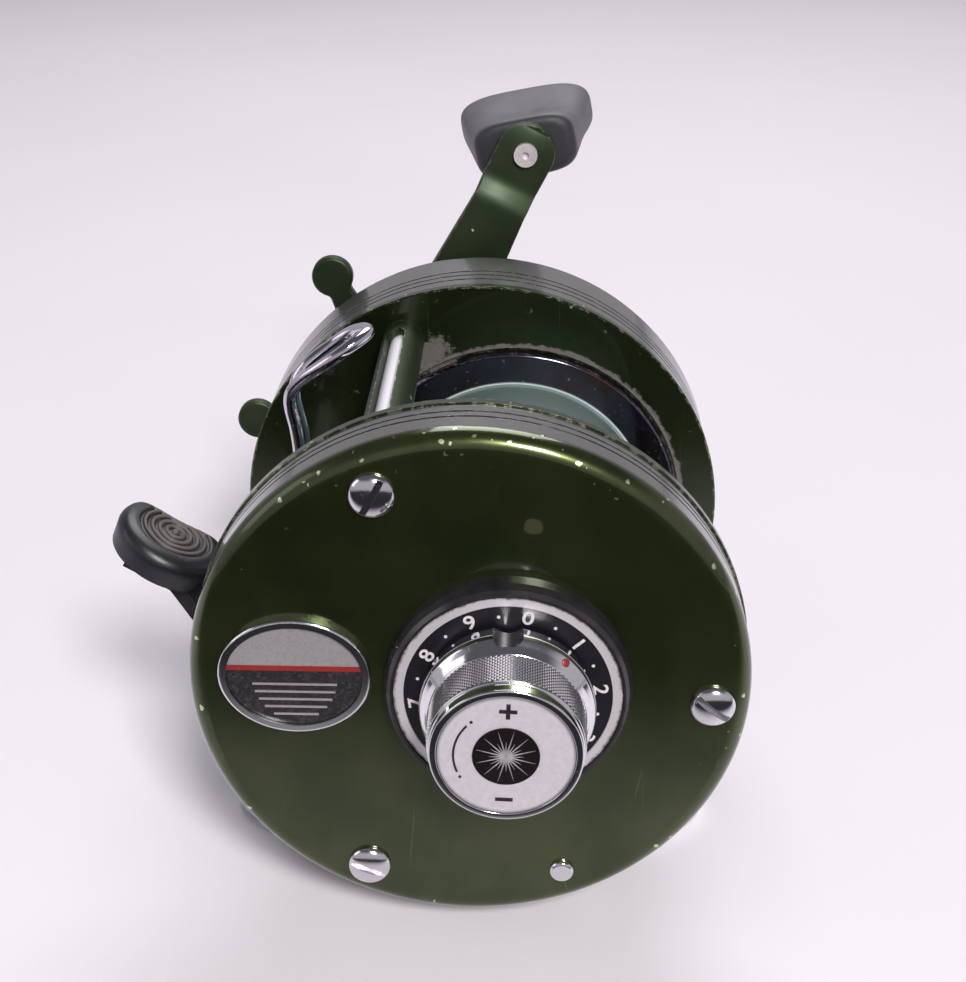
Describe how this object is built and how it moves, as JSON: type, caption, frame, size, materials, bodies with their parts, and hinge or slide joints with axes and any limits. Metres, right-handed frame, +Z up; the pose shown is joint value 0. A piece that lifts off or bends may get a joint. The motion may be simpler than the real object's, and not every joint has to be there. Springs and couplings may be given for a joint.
{
  "type": "baitcasting fishing reel",
  "caption": "Round level-wind baitcasting reel with a green drum frame, double handle, star drag, dial and thumb lever.",
  "frame": {"origin": "centre of the reel foot's seat face", "axes": "+X forward to the line guide, +Y to the palm side with the dial, +Z up from the rod"},
  "size_m": [0.0644, 0.0906, 0.0733],
  "materials": {
    "green_anodised": "dark green gloss anodising, worn pale at the edges",
    "chrome_plate": "bright plating with fine scratches",
    "plain_steel": "plain turned or pressed steel",
    "gear_brass": "cut and oiled",
    "pad_rubber": "black moulded rubber with rings",
    "knob_plastic": "dark grey, worn smooth",
    "black_trim": "black enamel",
    "dial_print": "black dial with white ring and figures",
    "badge_metal": "bright stamped sheet with black enamel",
    "nylon_white": "natural nylon",
    "fibre_red": "hard fibre"
  },
  "bodies": {
    "frame": {"left_frame_plate": "green_anodised", "right_frame_plate": "green_anodised", "rear_pillar": "green_anodised", "bottom_bar": "green_anodised", "top_tube": "green_anodised", "tube_rod": "chrome_plate", "reel_foot": "chrome_plate", "foot_rivets": "plain_steel", "left_side_cover": "green_anodised", "cover_screws": "chrome_plate", "oil_plug": "chrome_plate", "badge": "badge_metal", "dial_bezel": "black_trim", "dial_plate": "dial_print", "spool_bearings": "plain_steel", "worm_tube": "chrome_plate", "worm_bushes": "nylon_white", "gear_plate": "plain_steel", "gear_studs": "plain_steel", "drive_bushing": "gear_brass", "right_side_cover": "green_anodised", "brake_ring": "gear_brass", "yoke_springs": "plain_steel", "lever_spring": "plain_steel"},
    "crank": {"drive_shaft": "plain_steel", "ratchet_wheel": "plain_steel", "handle_arm": "green_anodised", "handle_nut": "chrome_plate", "knob_rivets": "chrome_plate", "drag_washers": "fibre_red", "drag_pressure_plate": "plain_steel", "star_spring_washer": "plain_steel"},
    "drive_gear": {"main_gear": "gear_brass"},
    "star": {"star_drag": "green_anodised"},
    "upper_grip": {"upper_handle_knob": "knob_plastic"},
    "lower_grip": {"lower_handle_knob": "knob_plastic"},
    "spool_group": {"spool": "chrome_plate", "spool_shaft": "plain_steel", "clutch_pin": "plain_steel", "spool_cog": "gear_brass", "brake_carrier": "plain_steel", "brake_blocks": "fibre_red"},
    "pinion_body": {"pinion": "gear_brass"},
    "yoke": {"clutch_yoke": "plain_steel"},
    "idler": {"idler_gear": "nylon_white"},
    "worm": {"worm_shaft": "plain_steel", "worm_cog": "nylon_white"},
    "guide": {"guide_carriage": "chrome_plate", "line_guide": "chrome_plate", "pawl_cap": "chrome_plate", "guide_pawl": "gear_brass"},
    "cast_control": {"cast_control_knob": "chrome_plate", "knob_cap": "badge_metal", "tension_shim": "gear_brass"},
    "thumb_lever": {"lever_arm": "plain_steel", "thumb_pad": "pad_rubber", "lever_shaft": "plain_steel", "release_crank": "plain_steel"},
    "link": {"release_link": "plain_steel"},
    "dog": {"anti_reverse_dog": "plain_steel"}
  },
  "joints": [
    {"name": "handle_turn", "type": "hinge", "parent": "frame", "child": "crank", "pos_m": [0.01065, -0.03, 0.0376], "axis": [0, 1, 0], "continuous": true},
    {"name": "main_gear_turn", "type": "hinge", "parent": "frame", "child": "drive_gear", "pos_m": [0.01065, -0.0235, 0.0376], "axis": [0, 1, 0], "continuous": true},
    {"name": "star_drag_turn", "type": "hinge", "parent": "crank", "child": "star", "pos_m": [0.01065, -0.032, 0.0376], "axis": [0, 1, 0], "range_deg": [-150, 150]},
    {"name": "upper_knob_spin", "type": "hinge", "parent": "crank", "child": "upper_grip", "pos_m": [-0.00465, -0.046, 0.0683], "axis": [0, 1, 0], "continuous": true},
    {"name": "lower_knob_spin", "type": "hinge", "parent": "crank", "child": "lower_grip", "pos_m": [0.02595, -0.046, 0.00691], "axis": [0, 1, 0], "continuous": true},
    {"name": "spool_spin", "type": "hinge", "parent": "frame", "child": "spool_group", "pos_m": [-0.0038, 0, 0.032], "axis": [0, 1, 0], "continuous": true},
    {"name": "yoke_slide", "type": "slide", "parent": "frame", "child": "yoke", "axis": [0, 1, 0], "range_m": [-0.0014, 0], "stiffness_N_per_m": 60, "springref_m": 0.002, "deforming": ["yoke_springs"]},
    {"name": "pinion_spin", "type": "hinge", "parent": "yoke", "child": "pinion_body", "pos_m": [-0.0038, -0.02, 0.032], "axis": [0, 1, 0], "continuous": true},
    {"name": "idler_spin", "type": "hinge", "parent": "frame", "child": "idler", "pos_m": [0.0067, 0.0185, 0.0321], "axis": [0, 1, 0], "continuous": true},
    {"name": "worm_spin", "type": "hinge", "parent": "frame", "child": "worm", "pos_m": [0.0182, 0, 0.037], "axis": [0, 1, 0], "continuous": true},
    {"name": "guide_travel", "type": "slide", "parent": "frame", "child": "guide", "axis": [0, 1, 0], "range_m": [-0.0117, 0.0117]},
    {"name": "cast_control_turn", "type": "hinge", "parent": "frame", "child": "cast_control", "pos_m": [-0.0038, 0.03, 0.032], "axis": [0, 1, 0], "range_deg": [-120, 120]},
    {"name": "thumb_lever_press", "type": "hinge", "parent": "frame", "child": "thumb_lever", "pos_m": [0.0198, 0.0094, 0.0194], "axis": [0, 1, 0], "range_deg": [0, 15], "stiffness_Nm_per_rad": 0.03, "springref_deg": -11.46, "deforming": ["lever_spring"]},
    {"name": "link_slide", "type": "slide", "parent": "frame", "child": "link", "axis": [1, 0, 0], "range_m": [0, 0.0013]},
    {"name": "dog_swing", "type": "hinge", "parent": "frame", "child": "dog", "pos_m": [0.00865, -0.0188, 0.04661], "axis": [0, 1, 0], "range_deg": [0, 12], "stiffness_Nm_per_rad": 0.002, "springref_deg": -17.19}
  ],
  "couplings": [
    {"joint": "main_gear_turn", "follows": "handle_turn", "ratio": 1},
    {"joint": "spool_spin", "follows": "handle_turn", "ratio": -3.7692},
    {"joint": "pinion_spin", "follows": "handle_turn", "ratio": -3.7692},
    {"joint": "idler_spin", "follows": "handle_turn", "ratio": 1.5077},
    {"joint": "worm_spin", "follows": "handle_turn", "ratio": -2.2615},
    {"joint": "yoke_slide", "follows": "thumb_lever_press", "m_per_rad": -0.005347},
    {"joint": "link_slide", "follows": "thumb_lever_press", "m_per_rad": 0.0045}
  ]
}
